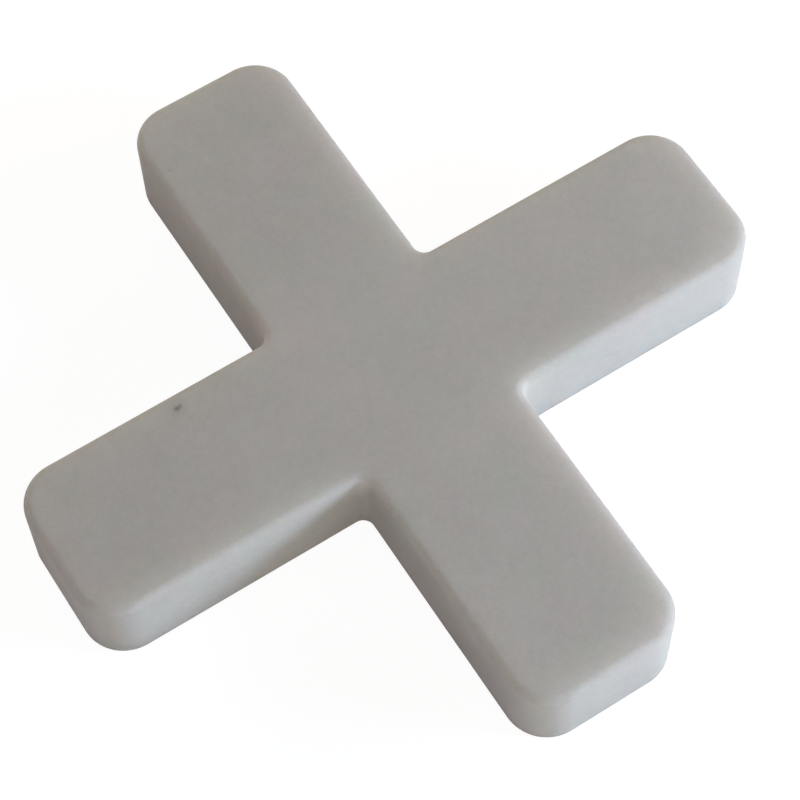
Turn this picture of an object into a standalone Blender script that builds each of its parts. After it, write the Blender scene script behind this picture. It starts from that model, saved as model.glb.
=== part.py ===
"""Cross-shaped tile spacer, moulded as one solid piece of translucent white plastic.

Four equal arms meet at right angles. An arm's width sets the joint between two tiles, and the
four notches between the arms take the corners of four tiles. Lengths are in metres and +Z is up.
The spacer lies flat, with the origin at the centre of its underside and its arms along X and Y.
"""

import math

import bmesh
import bpy
from mathutils import Matrix

# Driving dimensions
OVERALL_LENGTH = 0.0432  # from tip to tip, the same along X and Y
JOINT_WIDTH = 0.0100  # across an arm, from tile to tile
THICKNESS = 0.0054  # from the underside to the top face
TIP_RADIUS = 0.0025  # corners at the tip of an arm, seen from above
ROOT_FILLET = 0.0007  # inner corners where two arms meet, seen from above
TOP_ROUND = 0.0005  # soft edge round the top face
BOTTOM_ROUND = 0.00015  # crisper edge round the underside

# Sizes that follow from them
ARM_LENGTH = (OVERALL_LENGTH - JOINT_WIDTH) / 2

# Facets along each rounding
TIP_SEGMENTS = 12
FILLET_SEGMENTS = 12
TOP_SEGMENTS = 5
BOTTOM_SEGMENTS = 3

# Look of the plastic
PLASTIC_COLOUR = (0.434, 0.418, 0.392, 1.0)  # linear, a warm off-white seen in soft light
PLASTIC_ROUGHNESS = 0.5
PLASTIC_REFRACTION = 1.5
SCATTER_DEPTH = 0.0006  # how far light runs under the skin

# Limits for telling edges and faces apart
LARGEST_SHARE = 0.98  # part of its wall that a rounding may take
SAME_PLACE = 1e-6  # points closer than this in height are level with each other
FLAT_ANGLE = math.radians(1.0)  # faces that turn less than this are one flat face
CORNER_ANGLE = math.radians(45.0)  # walls that turn more than this meet at a corner
STEEP_SLOPE = 0.5  # a face whose normal rises less than this is a wall
SMOOTH_ANGLE = math.radians(40.0)  # facets that turn less than this are shaded as one curve
CIRCULAR = 0.5  # shape of a rounding's section


def clear_scene():
    """Removes whatever the file holds."""
    for obj in list(bpy.data.objects):
        bpy.data.objects.remove(obj, do_unlink=True)


def plastic_material():
    """Off-white moulded plastic with a satin skin, in which light spreads a little."""
    material = bpy.data.materials.new("moulded_plastic")
    material.use_nodes = True
    material.diffuse_color = PLASTIC_COLOUR
    shader = material.node_tree.nodes["Principled BSDF"]
    shader.inputs["Base Color"].default_value = PLASTIC_COLOUR
    shader.inputs["Metallic"].default_value = 0.0
    shader.inputs["Roughness"].default_value = PLASTIC_ROUGHNESS
    shader.inputs["IOR"].default_value = PLASTIC_REFRACTION
    shader.inputs["Subsurface Weight"].default_value = 1.0
    shader.inputs["Subsurface Scale"].default_value = SCATTER_DEPTH
    return material


def is_wall(face):
    """True for an upright face, and False for a level one."""
    return abs(face.normal.z) < STEEP_SLOPE


def add_hub(mesh):
    """The square block at the crossing, as wide as an arm and as tall as the spacer."""
    centre = Matrix.Translation((0.0, 0.0, THICKNESS / 2))
    size = Matrix.Diagonal((JOINT_WIDTH, JOINT_WIDTH, THICKNESS, 1.0))
    bmesh.ops.create_cube(mesh, size=1.0, matrix=centre @ size)


def grow_arms(mesh):
    """Draws each wall of the hub out to the tip of an arm, and makes the two faces whole."""
    walls = [face for face in mesh.faces if is_wall(face)]
    tips = bmesh.ops.extrude_discrete_faces(mesh, faces=walls)["faces"]
    for tip in tips:
        bmesh.ops.translate(mesh, verts=tip.verts[:], vec=tip.normal * ARM_LENGTH)
    bmesh.ops.dissolve_limit(
        mesh, angle_limit=FLAT_ANGLE, verts=mesh.verts[:], edges=mesh.edges[:]
    )


def corner_edges(mesh, is_inner):
    """The upright edges of the inner corners between arms, or those at the arms' tips."""
    found = []
    for edge in mesh.edges:
        start, end = edge.verts
        is_upright = abs(start.co.z - end.co.z) > SAME_PLACE
        turn = edge.calc_face_angle_signed()
        if is_upright and abs(turn) > CORNER_ANGLE and (turn < 0.0) == is_inner:
            found.append(edge)
    return found


def rim_edges(mesh, height):
    """The closed outline of the level face at this height."""
    found = []
    for edge in mesh.edges:
        is_level = all(abs(vert.co.z - height) < SAME_PLACE for vert in edge.verts)
        if is_level and any(is_wall(face) for face in edge.link_faces):
            found.append(edge)
    return found


def round_off(mesh, edges, radius, segments):
    """Turns these edges into arcs of one radius."""
    bmesh.ops.bevel(
        mesh,
        geom=edges,
        offset=radius,
        offset_type="OFFSET",
        segments=segments,
        profile=CIRCULAR,
        affect="EDGES",
        clamp_overlap=False,
    )
    mesh.normal_update()


def spacer_mesh():
    """Hub and arms, then the corners seen from above, then the soft edge round each face."""
    tip_radius = min(TIP_RADIUS, JOINT_WIDTH / 2 * LARGEST_SHARE, ARM_LENGTH * LARGEST_SHARE)
    root_fillet = min(ROOT_FILLET, (ARM_LENGTH - tip_radius) * LARGEST_SHARE)
    edge_limit = min(tip_radius, THICKNESS / 2) * LARGEST_SHARE

    mesh = bmesh.new()
    add_hub(mesh)
    grow_arms(mesh)
    round_off(mesh, corner_edges(mesh, is_inner=False), tip_radius, TIP_SEGMENTS)
    round_off(mesh, corner_edges(mesh, is_inner=True), root_fillet, FILLET_SEGMENTS)
    round_off(mesh, rim_edges(mesh, THICKNESS), min(TOP_ROUND, edge_limit), TOP_SEGMENTS)
    round_off(mesh, rim_edges(mesh, 0.0), min(BOTTOM_ROUND, edge_limit), BOTTOM_SEGMENTS)

    data = bpy.data.meshes.new("tile_spacer")
    mesh.to_mesh(data)
    mesh.free()
    return data


def spacer_object():
    """The finished spacer, shaded smooth round its edges and flat on its faces."""
    data = spacer_mesh()
    data.materials.append(plastic_material())
    data.shade_smooth()
    data.set_sharp_from_angle(angle=SMOOTH_ANGLE)
    spacer = bpy.data.objects.new("tile_spacer", data)
    even_faces = spacer.modifiers.new("even_faces", "WEIGHTED_NORMAL")
    even_faces.keep_sharp = True
    return spacer


def main():
    clear_scene()
    collection = bpy.data.collections.new("tile_spacer")
    bpy.context.scene.collection.children.link(collection)
    collection.objects.link(spacer_object())


main()
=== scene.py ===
import math

import bpy
import numpy as np
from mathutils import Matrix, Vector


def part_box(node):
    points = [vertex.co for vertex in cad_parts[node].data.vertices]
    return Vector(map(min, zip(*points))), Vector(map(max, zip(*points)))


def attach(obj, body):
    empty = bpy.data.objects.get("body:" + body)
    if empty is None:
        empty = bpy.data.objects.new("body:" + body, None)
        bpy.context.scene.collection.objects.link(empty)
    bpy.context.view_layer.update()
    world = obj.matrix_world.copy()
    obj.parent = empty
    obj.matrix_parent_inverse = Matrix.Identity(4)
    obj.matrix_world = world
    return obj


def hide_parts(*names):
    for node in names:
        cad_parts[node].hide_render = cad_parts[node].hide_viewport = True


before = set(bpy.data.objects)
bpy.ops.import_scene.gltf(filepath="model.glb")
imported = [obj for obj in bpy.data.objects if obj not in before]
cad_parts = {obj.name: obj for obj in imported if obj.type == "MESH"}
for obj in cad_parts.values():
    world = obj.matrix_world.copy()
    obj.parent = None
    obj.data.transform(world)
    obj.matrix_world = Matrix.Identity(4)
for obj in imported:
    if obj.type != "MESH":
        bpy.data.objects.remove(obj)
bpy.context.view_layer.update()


# The camera stands in front of the arm that points to -Y, a little to its left, and looks down
camera = {
    "place": (-0.03402, -0.05767, 0.13261),
    "turn": (26.908, 0.861, -32.498),  # degrees about X, Y and Z
    "lens": 117.30,  # mm
    "sensorWidth": 36.0,  # mm
    "sees": (0.005, 20.0),  # from this distance to that
}


def addCamera():
    data = bpy.data.cameras.new("camera")
    data.lens = camera["lens"]
    data.sensor_width = camera["sensorWidth"]
    data.clip_start, data.clip_end = camera["sees"]
    viewer = bpy.data.objects.new("camera", data)
    viewer.location = camera["place"]
    viewer.rotation_euler = [math.radians(angle) for angle in camera["turn"]]
    bpy.context.scene.collection.objects.link(viewer)
    bpy.context.scene.camera = viewer


addCamera()
bpy.context.scene.view_settings.view_transform = "Standard"
print("stage 2: camera placed")


# The spacer. Lengths in metres, steps are faces along each stretch of the surface
spacer = {
    "armWidth": 0.0100,
    "tipRadius": 0.0025,
    "rootFillet": 0.0007,
    "topRound": 0.0005,
    "bottomRound": 0.00015,
    "tipSteps": 24,
    "filletSteps": 12,
    "sideSteps": 28,
    "endSteps": 10,
    "topRoundSteps": 10,
    "bottomRoundSteps": 6,
    "wallSteps": 12,
    "topSteps": 36,
    "undersideSteps": 14,
}


def cornerArc(centre, radius, start, end, steps, outward):
    # Quarter circle: centre plus radius times (cos, sin) of the angle. Its normal is that ray,
    # turned round at an inner corner, where the plastic lies outside the circle
    angle = np.radians(np.linspace(start, end, steps + 1))
    ray = np.column_stack((np.cos(angle), np.sin(angle)))
    return np.array(centre) + radius * ray, outward * ray


def straightRun(start, end, normal, steps):
    # Straight line between two points, without its ends, which the arcs beside it hold
    share = np.linspace(0.0, 1.0, steps + 1)[1:-1, None]
    start, end = np.array(start), np.array(end)
    return start + share * (end - start), np.tile(normal, (steps - 1, 1))


def crossOutline(half):
    # Outline seen from above, anticlockwise: one arm's side, tip corner, end, tip corner, other
    # side and inner corner, then the same three more times, each a quarter turn further round
    arm = spacer["armWidth"] / 2
    tip, root = spacer["tipRadius"], spacer["rootFillet"]
    runs = [
        straightRun((arm + root, -arm), (half - tip, -arm), (0.0, -1.0), spacer["sideSteps"]),
        cornerArc((half - tip, tip - arm), tip, -90, 0, spacer["tipSteps"], 1),
        straightRun((half, tip - arm), (half, arm - tip), (1.0, 0.0), spacer["endSteps"]),
        cornerArc((half - tip, arm - tip), tip, 0, 90, spacer["tipSteps"], 1),
        straightRun((half - tip, arm), (arm + root, arm), (0.0, 1.0), spacer["sideSteps"]),
        cornerArc((arm + root, arm + root), root, 270, 180, spacer["filletSteps"], -1),
    ]
    points = np.vstack([run[0] for run in runs])
    normals = np.vstack([run[1] for run in runs])
    quarter = np.array([[0.0, 1.0], [-1.0, 0.0]])  # rows times this turn by 90 degrees
    turns = [np.linalg.matrix_power(quarter, step) for step in range(4)]
    outline = np.vstack([points @ turn for turn in turns])
    return outline, np.vstack([normals @ turn for turn in turns])


def spacerSection(height):
    # Half section from the middle of the underside to the middle of the top. Each row has a share
    # of the way out from the centre, an inset from the outline, a height, and the tilt of its
    # normal: -90 degrees on the underside, 0 on the wall and 90 on the top
    top, bottom = spacer["topRound"], spacer["bottomRound"]
    out = np.linspace(0.0, 1.0, spacer["undersideSteps"] + 1)[1:-1]
    low = np.radians(np.linspace(-90, 0, spacer["bottomRoundSteps"] + 1))
    wall = np.linspace(bottom, height - top, spacer["wallSteps"] + 1)[1:-1]
    high = np.radians(np.linspace(0, 90, spacer["topRoundSteps"] + 1))
    back = np.linspace(1.0, 0.0, spacer["topSteps"] + 1)[1:-1]
    share = np.concatenate((out, np.ones(len(low) + len(wall) + len(high)), back))
    inset = np.concatenate((
        np.full(len(out), bottom), bottom * (1 - np.cos(low)), np.zeros(len(wall)),
        top * (1 - np.cos(high)), np.full(len(back), top),
    ))
    rise = np.concatenate((
        np.zeros(len(out)), bottom * (1 + np.sin(low)), wall,
        height - top + top * np.sin(high), np.full(len(back), height),
    ))
    tilt = np.concatenate((
        np.full(len(out), -math.pi / 2), low, np.zeros(len(wall)),
        high, np.full(len(back), math.pi / 2),
    ))
    return share, inset, rise, tilt


def buildSpacer():
    # The section carried along the outline: a point is its share of (outline - inset * normal),
    # at the row's height. One point closes the middle of each face
    low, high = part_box("tile_spacer")
    outline, sideways = crossOutline(high.x)
    share, inset, rise, tilt = spacerSection(high.z)
    rows, columns = len(share), len(outline)
    plan = share[:, None, None] * (outline - inset[:, None, None] * sideways)
    level = np.repeat(rise[:, None], columns, axis=1)[..., None]
    lean = np.concatenate((
        np.cos(tilt)[:, None, None] * sideways,
        np.repeat(np.sin(tilt)[:, None], columns, axis=1)[..., None],
    ), axis=2)
    points = np.concatenate((plan, level), axis=2).reshape(-1, 3)
    points = np.vstack((points, (0.0, 0.0, 0.0), (0.0, 0.0, high.z)))
    normals = np.vstack((lean.reshape(-1, 3), (0.0, 0.0, -1.0), (0.0, 0.0, 1.0)))

    here = np.arange(rows * columns).reshape(rows, columns)
    after = np.roll(here, -1, axis=1)
    band = np.stack((here[:-1], after[:-1], after[1:], here[1:]), axis=2).reshape(-1, 4)
    under = np.full(columns, rows * columns)
    over = under + 1
    lowerFan = np.column_stack((under, after[0], here[0]))
    upperFan = np.column_stack((over, here[-1], after[-1]))

    mesh = bpy.data.meshes.new("mouldedCross")
    mesh.from_pydata(points.tolist(), [], band.tolist() + lowerFan.tolist() + upperFan.tolist())
    mesh.shade_smooth()
    mesh.normals_split_custom_set_from_vertices(normals.tolist())
    mesh.validate()
    piece = bpy.data.objects.new("mouldedCross", mesh)
    bpy.context.scene.collection.objects.link(piece)
    return piece


# The plastic. Colours are linear, lengths in metres
plastic = {
    "colour": (0.434, 0.418, 0.392, 1.0),  # for the plain viewport
    "paleWarm": (0.477, 0.431, 0.406, 1.0),  # four shades near the colour, for faint clouds
    "paleCool": (0.443, 0.449, 0.396, 1.0),
    "denseWarm": (0.432, 0.390, 0.367, 1.0),
    "denseCool": (0.398, 0.407, 0.358, 1.0),
    "cloudSize": 0.006,  # pale and dense patches
    "tintSize": 0.003,  # warm and cool patches
    "cloudContrast": (0.3, 0.7),  # noise from here to there is drawn out to 0 and 1
    "dustSize": 0.0004,  # the finest unevenness of the colour
    "dustStrength": 2.4,
    "scatterDepth": 0.0025,  # how far light runs under the skin
    "scatterShares": (1.0, 0.95, 0.85),  # red runs a little further than blue
    "refraction": 1.5,
    "gloss": 0.20,
    "roughness": (0.65, 0.75),
    "grainSize": 0.00025,
    "grainDepth": 0.000004,
    "waveSize": 0.004,
    "waveDepth": 0.00002,
}

# Specks in the top face: middle, half lengths, turn in degrees and strength
speckColour = (0.17, 0.16, 0.135, 1.0)
speckReach = 1.9  # half lengths from the middle to where a speck has faded out
specks = [
    {"place": (-0.01146, 0.00400, 0.0054), "size": (0.00017, 0.00012, 0.0005), "turn": -5,
     "strength": 0.90},
    {"place": (-0.01124, 0.00406, 0.0054), "size": (0.00009, 0.00010, 0.0005), "turn": 0,
     "strength": 0.62},
    {"place": (-0.01139, 0.00400, 0.0054), "size": (0.00042, 0.00042, 0.0005), "turn": 0,
     "strength": 0.21},
    {"place": (-0.00406, 0.01746, 0.0054), "size": (0.00012, 0.00012, 0.0005), "turn": 0,
     "strength": 0.22},
    {"place": (0.01288, -0.00003, 0.0054), "size": (0.00013, 0.00011, 0.0005), "turn": 20,
     "strength": 0.14},
    {"place": (-0.00151, 0.01025, 0.0054), "size": (0.00013, 0.00013, 0.0005), "turn": 0,
     "strength": 0.11},
    {"place": (0.00826, -0.00276, 0.0054), "size": (0.00012, 0.00012, 0.0005), "turn": 0,
     "strength": 0.10},
]


def addNode(tree, kind, values=None, **settings):
    node = tree.nodes.new(kind)
    for name, value in settings.items():
        setattr(node, name, value)
    for socket, value in (values or {}).items():
        node.inputs[socket].default_value = value
    return node


def noiseOf(tree, coords, size, detail, roughness=0.5, seed=0.0):
    # Soft noise from 0 to 1 whose largest lumps have this size
    noise = addNode(tree, "ShaderNodeTexNoise", {
        "Scale": 1.0 / size, "Detail": detail, "Roughness": roughness, "W": seed,
    }, noise_dimensions="4D")
    tree.links.new(coords, noise.inputs["Vector"])
    return noise.outputs["Fac"]


def cloudsOf(tree, coords, size, seed):
    # Noise with nearly as much in its fine lumps as in its large ones, drawn out to 0 and 1
    lumps = noiseOf(tree, coords, size, detail=5.0, roughness=0.85, seed=seed)
    spread = addNode(tree, "ShaderNodeMapRange", {
        "From Min": plastic["cloudContrast"][0], "From Max": plastic["cloudContrast"][1],
    })
    tree.links.new(lumps, spread.inputs["Value"])
    return spread.outputs["Result"]


def withDust(tree, share, dust, strength):
    # Share plus strength times (dust - 1/2), kept between 0 and 1
    swing = addNode(tree, "ShaderNodeMath", {
        1: strength, 2: -strength / 2,
    }, operation="MULTIPLY_ADD")
    total = addNode(tree, "ShaderNodeMath", operation="ADD", use_clamp=True)
    tree.links.new(dust, swing.inputs[0])
    tree.links.new(share, total.inputs[0])
    tree.links.new(swing.outputs["Value"], total.inputs[1])
    return total.outputs["Value"]


def blendOf(tree, share, first, second):
    # Each end is a fixed colour or another node's output
    mix = addNode(tree, "ShaderNodeMix", data_type="RGBA")
    tree.links.new(share, mix.inputs["Factor"])
    for name, colour in (("A", first), ("B", second)):
        if isinstance(colour, tuple):
            mix.inputs[name].default_value = colour
        else:
            tree.links.new(colour, mix.inputs[name])
    return mix.outputs["Result"]


def speckShare(tree, coords, speck):
    # Full strength at the speck's middle, which fades softly to 0 at the reach
    place = addNode(tree, "ShaderNodeMapping", {
        "Location": speck["place"],
        "Rotation": (0.0, 0.0, math.radians(speck["turn"])),
        "Scale": speck["size"],
    }, vector_type="TEXTURE")
    away = addNode(tree, "ShaderNodeVectorMath", operation="LENGTH")
    fade = addNode(tree, "ShaderNodeMapRange", {
        "From Min": 0.0, "From Max": speckReach, "To Min": speck["strength"], "To Max": 0.0,
    }, interpolation_type="SMOOTHSTEP")
    tree.links.new(coords, place.inputs["Vector"])
    tree.links.new(place.outputs["Vector"], away.inputs[0])
    tree.links.new(away.outputs["Value"], fade.inputs["Value"])
    return fade.outputs["Result"]


def mouldedPlastic():
    material = bpy.data.materials.new("mouldedPlastic")
    material.use_nodes = True
    material.diffuse_color = plastic["colour"]
    tree = material.node_tree
    shader = tree.nodes["Principled BSDF"]
    coords = addNode(tree, "ShaderNodeTexCoord").outputs["Object"]

    # Colour: warm and cool in two depths, mixed by the clouds and the dust, with the specks on top
    tint = cloudsOf(tree, coords, plastic["tintSize"], seed=7.0)
    pale = blendOf(tree, tint, plastic["paleWarm"], plastic["paleCool"])
    dense = blendOf(tree, tint, plastic["denseWarm"], plastic["denseCool"])
    dust = noiseOf(tree, coords, plastic["dustSize"], detail=2.0, roughness=1.0, seed=3.0)
    clouds = cloudsOf(tree, coords, plastic["cloudSize"], seed=1.0)
    colour = blendOf(tree, withDust(tree, clouds, dust, plastic["dustStrength"]), pale, dense)
    for speck in specks:
        colour = blendOf(tree, speckShare(tree, coords, speck), colour, speckColour)
    tree.links.new(colour, shader.inputs["Base Color"])

    # Sheen that varies a little
    shine = addNode(tree, "ShaderNodeMapRange", {
        "To Min": plastic["roughness"][0], "To Max": plastic["roughness"][1],
    })
    tree.links.new(noiseOf(tree, coords, plastic["waveSize"], detail=4.0), shine.inputs["Value"])
    tree.links.new(shine.outputs["Result"], shader.inputs["Roughness"])

    # Skin: slow waves left by the mould and a fine grain on them
    wave = addNode(tree, "ShaderNodeBump", {"Strength": 1.0, "Distance": plastic["waveDepth"]})
    grain = addNode(tree, "ShaderNodeBump", {"Strength": 1.0, "Distance": plastic["grainDepth"]})
    tree.links.new(noiseOf(tree, coords, plastic["waveSize"], detail=1.0), wave.inputs["Height"])
    tree.links.new(noiseOf(tree, coords, plastic["grainSize"], detail=2.0), grain.inputs["Height"])
    tree.links.new(wave.outputs["Normal"], grain.inputs["Normal"])
    tree.links.new(grain.outputs["Normal"], shader.inputs["Normal"])

    shader.subsurface_method = "BURLEY"  # fades evenly over the edges, without a bright rim
    shader.inputs["IOR"].default_value = plastic["refraction"]
    shader.inputs["Specular IOR Level"].default_value = plastic["gloss"]
    shader.inputs["Subsurface Weight"].default_value = 1.0
    shader.inputs["Subsurface Radius"].default_value = plastic["scatterShares"]
    shader.inputs["Subsurface Scale"].default_value = plastic["scatterDepth"]
    return material


cross = buildSpacer()
cross.data.materials.append(mouldedPlastic())
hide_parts("tile_spacer")
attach(cross, "root")
print("stage 3: spacer built, %d faces" % len(cross.data.polygons))


# The studio: a pale floor, a cool window low at the front right, a small warm lamp beside it,
# softer lamps round the other sides and an even room light. Floor and room look white to the
# camera and in reflections, and light the spacer with their own colours
studio = {
    "floorHalf": 1.5,
    "floorDrop": 0.00002,  # keeps the floor clear of the underside
    "floorColour": (0.95, 0.97, 1.00, 1.0),  # what it gives back to the plastic
    "floorShade": (0.12, 0.12, 0.12, 1.0),  # the part of its seen look that takes the shadow
    "floorGlow": 0.935,  # the part that doesn't
    "shadeReach": (0.05, 0.25),  # distances from the centre between which the shadow fades out
    "roomColour": (0.20, 0.184, 0.140, 1.0),
    "lampDistance": 0.20,  # from the origin
}
lamps = [
    {"name": "window", "azimuth": 51, "elevation": 20, "size": (0.08, 0.05),
     "colour": (0.49, 0.71, 1.00), "watts": 0.466},
    {"name": "side", "azimuth": 76, "elevation": 20, "size": (0.05, 0.05),
     "colour": (1.00, 0.56, 0.30), "watts": 0.151},
    {"name": "front", "azimuth": 0, "elevation": 15, "size": (0.12, 0.12),
     "colour": (1.00, 0.97, 0.94), "watts": 0.154},
    {"name": "back", "azimuth": 180, "elevation": 12, "size": (0.12, 0.12),
     "colour": (1.00, 0.98, 0.91), "watts": 0.202},
    {"name": "left", "azimuth": 270, "elevation": 20, "size": (0.12, 0.12),
     "colour": (0.93, 0.73, 1.00), "watts": 0.048},
]


def whiteToEyes(tree, seen, lit):
    # Camera, reflected and transmitted rays get the first shader, light on the object the second
    path = addNode(tree, "ShaderNodeLightPath")
    firstTwo = addNode(tree, "ShaderNodeMath", operation="MAXIMUM")
    allThree = addNode(tree, "ShaderNodeMath", operation="MAXIMUM")
    mix = addNode(tree, "ShaderNodeMixShader")
    tree.links.new(path.outputs["Is Camera Ray"], firstTwo.inputs[0])
    tree.links.new(path.outputs["Is Glossy Ray"], firstTwo.inputs[1])
    tree.links.new(firstTwo.outputs["Value"], allThree.inputs[0])
    tree.links.new(path.outputs["Is Transmission Ray"], allThree.inputs[1])
    tree.links.new(allThree.outputs["Value"], mix.inputs[0])
    tree.links.new(lit, mix.inputs[1])
    tree.links.new(seen, mix.inputs[2])
    return mix.outputs["Shader"]


def addFloor():
    # A level square: x and y from -half to half, just under the spacer
    half = studio["floorHalf"]
    mesh = bpy.data.meshes.new("floor")
    corners = [(-half, -half), (half, -half), (half, half), (-half, half)]
    mesh.from_pydata([(x, y, -studio["floorDrop"]) for x, y in corners], [], [(0, 1, 2, 3)])
    floor = bpy.data.objects.new("floor", mesh)
    bpy.context.scene.collection.objects.link(floor)

    material = bpy.data.materials.new("paleFloor")
    material.use_nodes = True
    tree = material.node_tree
    tree.nodes.clear()
    result = addNode(tree, "ShaderNodeOutputMaterial")
    given = addNode(tree, "ShaderNodeBsdfDiffuse", {"Color": studio["floorColour"]})
    shade = addNode(tree, "ShaderNodeBsdfDiffuse", {"Color": studio["floorShade"]})
    white = addNode(tree, "ShaderNodeEmission", {"Strength": studio["floorGlow"]})
    both = addNode(tree, "ShaderNodeAddShader")
    tree.links.new(shade.outputs["BSDF"], both.inputs[0])
    tree.links.new(white.outputs["Emission"], both.inputs[1])

    # Away from the spacer the floor fades to plain white, as the room behind it is
    coords = addNode(tree, "ShaderNodeTexCoord").outputs["Object"]
    away = addNode(tree, "ShaderNodeVectorMath", operation="LENGTH")
    fade = addNode(tree, "ShaderNodeMapRange", {
        "From Min": studio["shadeReach"][0], "From Max": studio["shadeReach"][1],
    }, interpolation_type="SMOOTHSTEP")
    plain = addNode(tree, "ShaderNodeEmission")
    seen = addNode(tree, "ShaderNodeMixShader")
    tree.links.new(coords, away.inputs[0])
    tree.links.new(away.outputs["Value"], fade.inputs["Value"])
    tree.links.new(fade.outputs["Result"], seen.inputs[0])
    tree.links.new(both.outputs["Shader"], seen.inputs[1])
    tree.links.new(plain.outputs["Emission"], seen.inputs[2])
    surface = whiteToEyes(tree, seen.outputs["Shader"], given.outputs["BSDF"])
    tree.links.new(surface, result.inputs["Surface"])
    mesh.materials.append(material)


def addRoom():
    world = bpy.data.worlds.new("room")
    world.use_nodes = True
    tree = world.node_tree
    tree.nodes.clear()
    result = addNode(tree, "ShaderNodeOutputWorld")
    white = addNode(tree, "ShaderNodeBackground", {"Color": (1.0, 1.0, 1.0, 1.0)})
    soft = addNode(tree, "ShaderNodeBackground", {"Color": studio["roomColour"]})
    surface = whiteToEyes(tree, white.outputs["Background"], soft.outputs["Background"])
    tree.links.new(surface, result.inputs["Surface"])
    bpy.context.scene.world = world


def addLamp(lamp):
    # A rectangle that faces the spacer from an azimuth (0 is -Y, 90 is +X) and an elevation
    azimuth, elevation = math.radians(lamp["azimuth"]), math.radians(lamp["elevation"])
    away = np.array((
        math.sin(azimuth) * math.cos(elevation),
        -math.cos(azimuth) * math.cos(elevation),
        math.sin(elevation),
    ))
    data = bpy.data.lights.new(lamp["name"], "AREA")
    data.shape = "RECTANGLE"
    data.size, data.size_y = lamp["size"]
    data.color = lamp["colour"]
    data.energy = lamp["watts"]
    light = bpy.data.objects.new(lamp["name"], data)
    light.location = away * studio["lampDistance"]
    light.rotation_euler = (math.pi / 2 - elevation, 0.0, azimuth)
    light.visible_camera = False
    bpy.context.scene.collection.objects.link(light)


addFloor()
addRoom()
for lamp in lamps:
    addLamp(lamp)
print("stage 4: floor, room light and %d lamps set" % len(lamps))
